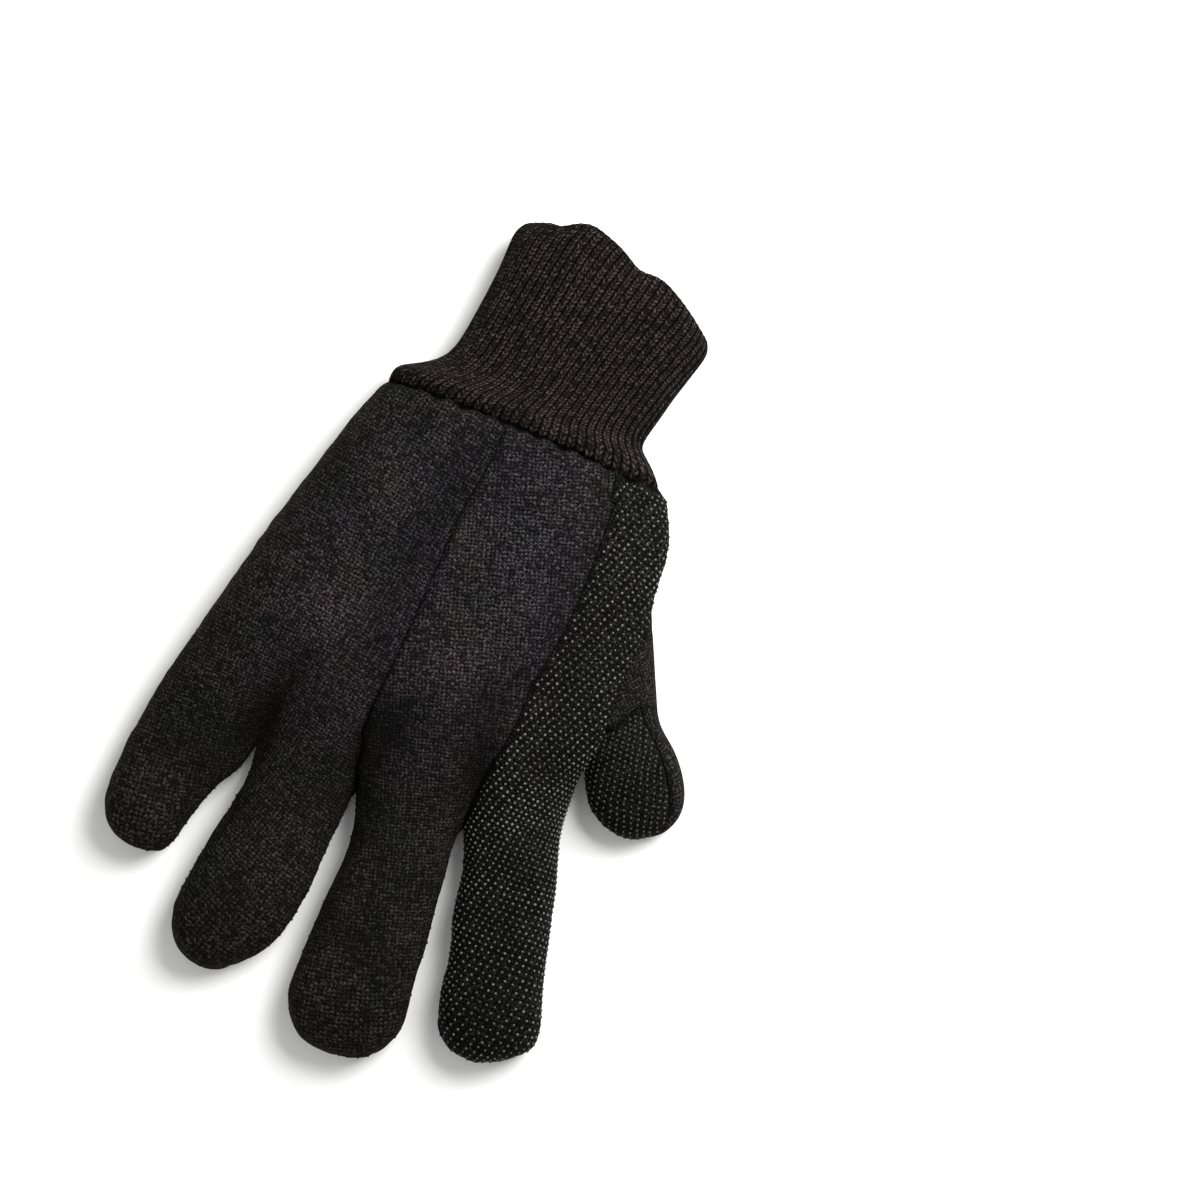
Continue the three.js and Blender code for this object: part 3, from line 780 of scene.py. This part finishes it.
def dot_shape(radius, height):
    """One dot as a low closed dome, flat below, and a little sunk into the cloth."""
    bm = bmesh.new()
    bmesh.ops.create_uvsphere(bm, u_segments=8, v_segments=6, radius=1)
    below = [v for v in bm.verts if v.co.z < -0.01]
    bmesh.ops.delete(bm, geom=below, context="VERTS")
    bmesh.ops.contextual_create(bm, geom=[e for e in bm.edges if e.is_boundary])
    bmesh.ops.scale(bm, verts=bm.verts, vec=(radius, radius, height * (1 + DOT_SINK)))
    bmesh.ops.translate(bm, verts=bm.verts, vec=(0, 0, -height * DOT_SINK))
    bmesh.ops.triangulate(bm, faces=bm.faces)
    bmesh.ops.recalc_face_normals(bm, faces=bm.faces)
    points = np.array([v.co[:] for v in bm.verts])
    faces = np.array([[v.index for v in f.verts] for f in bm.faces])
    bm.free()
    return points, faces


def dot_places(obj, settings):
    """Where the dots sit on a panel, in a leaning grid on its UV map, and which way they face."""
    mesh = obj.data
    mesh.calc_loop_triangles()
    triangles = np.array([t.loops[:] for t in mesh.loop_triangles])
    uv, corner = cloth_map(mesh)
    # The cloth is gathered a little here and there, so the rows wander.
    sheet = np.column_stack([uv, np.zeros(len(uv))])
    uv += 0.7 * MM * np.column_stack([rough(sheet, 9 * MM), rough(sheet + 50 * MM, 9 * MM)])
    corner = corner[triangles]
    seam = read_values(mesh.attributes["seam"].data, "value", 1)
    places = []
    corners = zip(uv[triangles], coordinates(mesh)[corner], normals(mesh)[corner], seam[corner])
    for flat, points, ways, seams in corners:
        area = np.cross(flat[1] - flat[0], flat[2] - flat[0])
        if abs(area) < 1e-12:
            continue
        low, high = flat.min(0), flat.max(0)
        rows = range(math.ceil(low[1] / settings.rows), math.floor(high[1] / settings.rows) + 1)
        for row in rows:
            shift = settings.across * (row * settings.lean % 1)
            first = math.ceil((low[0] - shift) / settings.across)
            last = math.floor((high[0] - shift) / settings.across)
            for column in range(first, last + 1):
                spot = np.array([column * settings.across + shift, row * settings.rows])
                share = np.array([
                    np.cross(flat[i - 1] - flat[i - 2], spot - flat[i - 2]) for i in range(3)
                ]) / area
                if share.min() >= 0 and share @ seams >= DOT_MARGIN:
                    places.append((share @ points, share @ ways))
    return places


def spread_dots(name, places, settings, lightness):
    """One object that holds a dot at every place, each with its own tone."""
    shape, faces = dot_shape(settings.radius, settings.height)
    chance = np.random.default_rng(7)
    all_points, all_faces = [], []
    for number, (place, way) in enumerate(places):
        turn = Vector(way).to_track_quat("Z", "Y").to_matrix()
        size = chance.uniform(0.8, 1.1)
        aside = turn @ Vector((*chance.normal(0, 0.07 * MM, 2), 0))
        spot = place + np.array(aside)
        spot[2] = max(spot[2], -way[2] * settings.height)  # pressed into the cloth by the floor
        all_points.append(shape * size @ np.array(turn).T + spot)
        all_faces.append(faces + number * len(shape))
    mesh = bpy.data.meshes.new(name)
    mesh.from_pydata(np.concatenate(all_points), [], np.concatenate(all_faces))
    # Wear dims the dots in patches about 20 mm wide.
    kept = 0.65 + 1.2 * rough(places[:, 0], 11 * MM)
    tones = chance.uniform(0, lightness, len(places)) * np.clip(kept, 0.15, 1)
    store_values(mesh, "tone", np.repeat(tones, len(shape)))
    obj = bpy.data.objects.new(name, mesh)
    bpy.context.scene.collection.objects.link(obj)
    shade_smooth(obj)
    return obj


# Cuff

CUFF_DENTS = [
    dict(x=0, y=-101, length=2.2, width=15, turn=-6, depth=0.9),
    dict(x=-6, y=-71, length=2.6, width=26, turn=-12, depth=0.7),
    dict(x=-22, y=-84, length=16, width=7, turn=10, depth=0.6),
    dict(x=14, y=-88, length=14, width=6, turn=8, depth=0.5),
    dict(x=-6, y=-121, length=3, width=20, turn=-14, depth=0.6),
]
CUFF_COLUMNS = 128  # the crests and grooves of the cuff's solid
CUFF_MIDDLE = 18  # where the line that its ribs follow meets the glove's middle, in millimetres
CUFF_LEAN = 0.28  # how far that line moves across for each step along
WRIST_GAP = 1.6 * MM  # the cuff's end is nearer than this to the hand
CUFF_TUCK = 2.6 * MM  # how far that end goes into the hand

# The cuff's solid is a grid of triangle pairs. This gives the next side of a triangle after each
# side, in columns and rows, so the grid can be walked.
NEXT_SIDE = {
    (1, 0): (0, 1), (0, 1): (-1, -1), (-1, -1): (1, 0),
    (1, 1): (-1, 0), (-1, 0): (0, -1), (0, -1): (1, 1),
}


def walk_cuff(start, order):
    """Every loop's column and row in a grid of triangle pairs, walking from face to face."""
    todo = collections.deque([(start, (0, 0), (1, 0))])
    places, seen = {}, {start.face}
    while todo:
        loop, at, side = todo.popleft()
        for _ in range(3):
            places[loop] = at[::order]
            at = (at[0] + side[0], at[1] + side[1])
            other = loop.link_loop_radial_next
            if other.face not in seen:
                seen.add(other.face)
                todo.append((other, at, (-side[0], -side[1])))
            loop, side = loop.link_loop_next, NEXT_SIDE[side]
    return places


def cuff_places(bm, rows):
    """Every vertex's column and row in the cuff, from the crest of its top rib. Only one of the
    two ways to tell the triangles' slanted sides gives each vertex one place in the ring."""

    def sideways(loop):
        way = loop.link_loop_next.vert.co - loop.vert.co
        return abs(way.x) / way.length

    top = max(bm.verts, key=lambda v: v.co.z)
    across = max(top.link_loops, key=sideways)
    for start, order in ((across, 1), (across.link_loop_prev, -1)):
        walked = walk_cuff(start, order)
        found = {(loop.vert, c % CUFF_COLUMNS, r % rows) for loop, (c, r) in walked.items()}
        if len(found) == len(bm.verts):
            return {vertex: (column, row) for vertex, column, row in found}
    raise ValueError("the cuff's solid is not a ring of ribs")


def leave_crests(bm, places):
    """Joins the cuff's triangles to quads that reach from one rib's crest to the next."""
    extra = []
    for edge in bm.edges:
        (column, row), (next_column, next_row) = (places[vertex] for vertex in edge.verts)
        slanted = column != next_column and row != next_row
        if slanted or column == next_column and column % 2:
            extra.append(edge)
    bmesh.ops.dissolve_edges(bm, edges=extra, use_verts=True)


def map_cuff(bm, rib):
    """Leaves only the crests of the cuff's ribs, as quads, and gives them a UV map in metres. The
    ribs run straight along the glove, and there are as many in each row."""
    layer = bm.loops.layers.uv.new("cloth")
    rows = len(bm.verts) // CUFF_COLUMNS
    places = cuff_places(bm, rows)
    grid = np.zeros((rows, CUFF_COLUMNS, 3))
    for vertex, (column, row) in places.items():
        grid[row, column] = vertex.co
    steps = np.linalg.norm(np.roll(grid[:, ::2], -1, axis=1) - grid[:, ::2], axis=2)
    round_it = np.cumsum(steps, axis=1)
    total = rib * round(float(round_it[:, -1].mean()) / rib)
    across = np.zeros((rows, CUFF_COLUMNS))
    across[:, 2::2] = round_it[:, :-1]
    for row in range(rows):
        # Counted from where the row crosses the middle line on the upper side.
        columns = np.arange(-CUFF_COLUMNS // 4, CUFF_COLUMNS // 4 + 1, 2)
        signed = across[row, columns] - np.where(columns < 0, round_it[row, -1], 0)
        x = grid[row, columns, 0] - CUFF_LEAN * grid[row, columns, 1]
        order = np.argsort(x)
        across[row] -= np.interp(CUFF_MIDDLE * MM, x[order], signed[order])
    lengths = np.linalg.norm(np.roll(grid, -1, axis=0) - grid, axis=2).mean(axis=1)
    along = np.concatenate([[0], np.cumsum(lengths)])
    leave_crests(bm, places)
    for face in bm.faces:
        near = places[face.loops[0].vert]
        for loop in face.loops:
            (column, row), (near_column, near_row) = places[loop.vert], near
            turns = round((near_column - column) / CUFF_COLUMNS)
            laps = round((near_row - row) / rows)
            place = across[row, column] / round_it[row, -1] + turns
            loop[layer].uv = (place * total, along[row] + laps * along[-1])


def raise_ribs(cuff, rib, relief):
    """Sinks the cuff's surface between the ribs."""
    mesh = cuff.data
    uv, corner = cloth_map(mesh)
    across = np.zeros(len(mesh.vertices))
    across[corner] = uv[:, 0]
    points, ways = coordinates(mesh), normals(mesh)
    groove = 0.5 - 0.5 * np.cos(2 * np.pi * across / rib)
    uneven = rough(points, 7 * MM)
    at_mouth = np.clip(-ways[:, 1] * 1.3, 0, 1)  # the fold is drawn tight
    depth = relief * (1 + 0.5 * uneven) * groove**0.8 * (1 - 0.8 * at_mouth)
    points -= ways * depth[:, None]
    points[:, 2] = np.maximum(points[:, 2], 0)
    set_coordinates(mesh, points)


def tuck_cuff(bm):
    """Draws the cuff's end at the wrist into the hand, so the jersey is sewn over it."""
    hand = bmesh.new()
    for node in PANELS:
        hand.from_mesh(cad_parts[node].data)
    tree = BVHTree.FromBMesh(hand)
    hand.free()
    rim = [v for v in bm.verts if tree.find_nearest(v.co)[3] < WRIST_GAP]
    middle = sum((v.co for v in rim), Vector()) / len(rim)
    for vertex in rim:
        out = vertex.co - middle
        vertex.co = middle + Vector((out.x * 0.985, out.y + CUFF_TUCK, out.z * 0.9))


def puff_cuff(cuff, wrist):
    """Gives the cuff its dents and the puffed edge beside the seam at the wrist. Stores the
    distance to that seam, nought past it."""
    points, ways = coordinates(cuff.data), normals(cuff.data)
    distance = np.zeros(len(points))
    for number, point in enumerate(points):
        spot, _, away = wrist.find(point)
        if point[1] < spot.y:
            distance[number] = away
    lift = sink(points, CUFF_DENTS)
    lift += 1.1 * MM * (hill(distance - 3.6 * MM, 2.6 * MM) - hill(distance, 1.4 * MM))
    lift = (lift * upper_side(ways) + PUFF) * off_floor(points)
    set_coordinates(cuff.data, points + ways * lift[:, None])
    # The rib material paints shade into the groove at the wrist from this distance.
    store_values(cuff.data, "seam", np.clip(distance / SEAM_REACH, 0, 1))


class GLOVE_OT_panels(bpy.types.Operator):
    """Make the five jersey panels over their solids"""

    bl_idname = "glove.panels"
    bl_label = "Jersey panels"

    def execute(self, context):
        settings = context.scene.glove_panels
        skin = glove_skin()
        soften(skin)
        seams, tight, rim = mark_seams(skin)
        context.scene["wrist_seam"] = np.array(rim).ravel().tolist()
        seams, wrist = tree_of(seams), tree_of(rim)
        flatten_skin(skin)
        add_subdivision(skin, 1)
        apply_modifiers(skin)
        turn_in(skin, seams, tight, wrist, settings)
        plain = jersey_material(
            "napped_jersey", settings.plain_colour, settings, speck=0.95, seam_shade=0.3
        )
        dotted = jersey_material(
            "jersey_under_dots", settings.dotted_colour, settings, speck=0.8, seam_shade=0.9
        )
        for number, node in enumerate(PANELS):
            cloth = cut_panel(skin, number)
            if node in DOTTED:
                places = dot_places(cloth, context.scene.glove_dots)
                context.scene[node + "_dots"] = np.array(places).ravel().tolist()
            thicken(cloth, settings.thickness)
            shade_smooth(cloth)
            cloth.data.materials.clear()
            cloth.data.materials.append(dotted if node in DOTTED else plain)
            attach(cloth, "root")
            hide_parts(node)
        bpy.data.objects.remove(skin)
        return {"FINISHED"}


class GLOVE_OT_dots(bpy.types.Operator):
    """Spread the vinyl dots over the dotted panels"""

    bl_idname = "glove.dots"
    bl_label = "Vinyl dots"

    def execute(self, context):
        settings = context.scene.glove_dots
        vinyl = vinyl_material("vinyl_dots", settings.colour)
        for node, lightness in DOTTED.items():
            places = np.array(context.scene[node + "_dots"]).reshape(-1, 2, 3)
            parts = math.ceil(len(places) / DOTS_A_PART)
            for part, some in enumerate(np.array_split(places, parts)):
                dots = spread_dots(f"{node}_dots_{part + 1}", some, settings, lightness)
                dots.data.materials.append(vinyl)
                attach(dots, "root")
        return {"FINISHED"}


class GLOVE_OT_cuff(bpy.types.Operator):
    """Make the ribbed cuff over its solid"""

    bl_idname = "glove.cuff"
    bl_label = "Ribbed cuff"

    def execute(self, context):
        settings = context.scene.glove_cuff
        bm = bmesh.new()
        bm.from_mesh(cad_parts[CUFF].data)
        bmesh.ops.remove_doubles(bm, verts=bm.verts, dist=0.01 * MM)
        map_cuff(bm, settings.rib)
        tuck_cuff(bm)
        cuff = mesh_object("knit_cuff_cloth", bm)
        fit_cage(cuff)
        add_subdivision(cuff, settings.levels)
        apply_modifiers(cuff)
        puff_cuff(cuff, tree_of(np.array(context.scene["wrist_seam"]).reshape(-1, 3)))
        raise_ribs(cuff, settings.rib, settings.relief)
        shade_smooth(cuff)
        cuff.data.materials.clear()
        cuff.data.materials.append(rib_material("rib_knit", settings.colour, settings))
        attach(cuff, "root")
        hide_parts(CUFF)
        return {"FINISHED"}


class GLOVE_OT_stage(bpy.types.Operator):
    """Make the floor, the lights and the camera"""

    bl_idname = "glove.stage"
    bl_label = "Studio"

    def execute(self, context):
        settings = context.scene.glove_stage
        scene = context.scene
        bm = bmesh.new()
        bmesh.ops.create_grid(bm, x_segments=1, y_segments=1, size=3)
        floor = mesh_object("floor", bm)
        floor.data.materials.append(paper_material("studio_paper", settings.floor_colour))

        camera = bpy.data.cameras.new("camera")
        camera.sensor_width = 36
        camera.lens = camera.sensor_width * (settings.camera_height - VIEW_LEVEL) / VIEW_WIDTH
        camera.clip_end = 20
        eye = bpy.data.objects.new("camera", camera)
        scene.collection.objects.link(eye)
        eye.matrix_world = Matrix.Translation((*VIEW_CENTRE, settings.camera_height)) @ (
            Matrix.Rotation(VIEW_ROLL, 4, "Z")
        )
        scene.camera = eye

        # The name, place, size and power of each light.
        lights = [
            ("key_light", (-0.27, -0.45, 0.5), 0.45, settings.key_power),
            ("fill_light", (0.75, 0.5, 1.1), 1.4, settings.fill_power),
        ]
        for name, place, size, power in lights:
            light = bpy.data.lights.new(name, "AREA")
            light.size, light.energy = size, power
            lamp = bpy.data.objects.new(name, light)
            scene.collection.objects.link(lamp)
            aim = Vector((*VIEW_CENTRE, 0)) - Vector(place)
            turn = aim.to_track_quat("-Z", "Y").to_matrix().to_4x4()
            lamp.matrix_world = Matrix.Translation(place) @ turn

        world = bpy.data.worlds.new("studio")
        world.use_nodes = True
        background = world.node_tree.nodes["Background"]
        background.inputs["Color"].default_value = (1, 1, 1, 1)
        background.inputs["Strength"].default_value = settings.sky
        scene.world = world
        scene.view_settings.view_transform = "Standard"
        return {"FINISHED"}


OPERATORS = (GLOVE_OT_panels, GLOVE_OT_dots, GLOVE_OT_cuff, GLOVE_OT_stage)


class GLOVE_PT_sidebar(bpy.types.Panel):
    """The glove's steps, in order"""

    bl_idname = "GLOVE_PT_sidebar"
    bl_label = "Jersey glove"
    bl_space_type = "VIEW_3D"
    bl_region_type = "UI"
    bl_category = "Glove"

    def draw(self, context):
        for operator in OPERATORS:
            self.layout.operator(operator.bl_idname)


SETTINGS = {
    "glove_panels": GlovePanelSettings,
    "glove_dots": GloveDotSettings,
    "glove_cuff": GloveCuffSettings,
    "glove_stage": GloveStageSettings,
}


def register():
    for kind in (*SETTINGS.values(), *OPERATORS, GLOVE_PT_sidebar):
        bpy.utils.register_class(kind)
    for name, kind in SETTINGS.items():
        setattr(bpy.types.Scene, name, PointerProperty(type=kind))


def unregister():
    for name in SETTINGS:
        delattr(bpy.types.Scene, name)
    for kind in (GLOVE_PT_sidebar, *reversed(OPERATORS), *SETTINGS.values()):
        bpy.utils.unregister_class(kind)


def main():
    register()
    bpy.ops.glove.panels()
    bpy.ops.glove.dots()
    bpy.ops.glove.cuff()
    bpy.ops.glove.stage()


if __name__ == "__main__":
    main()
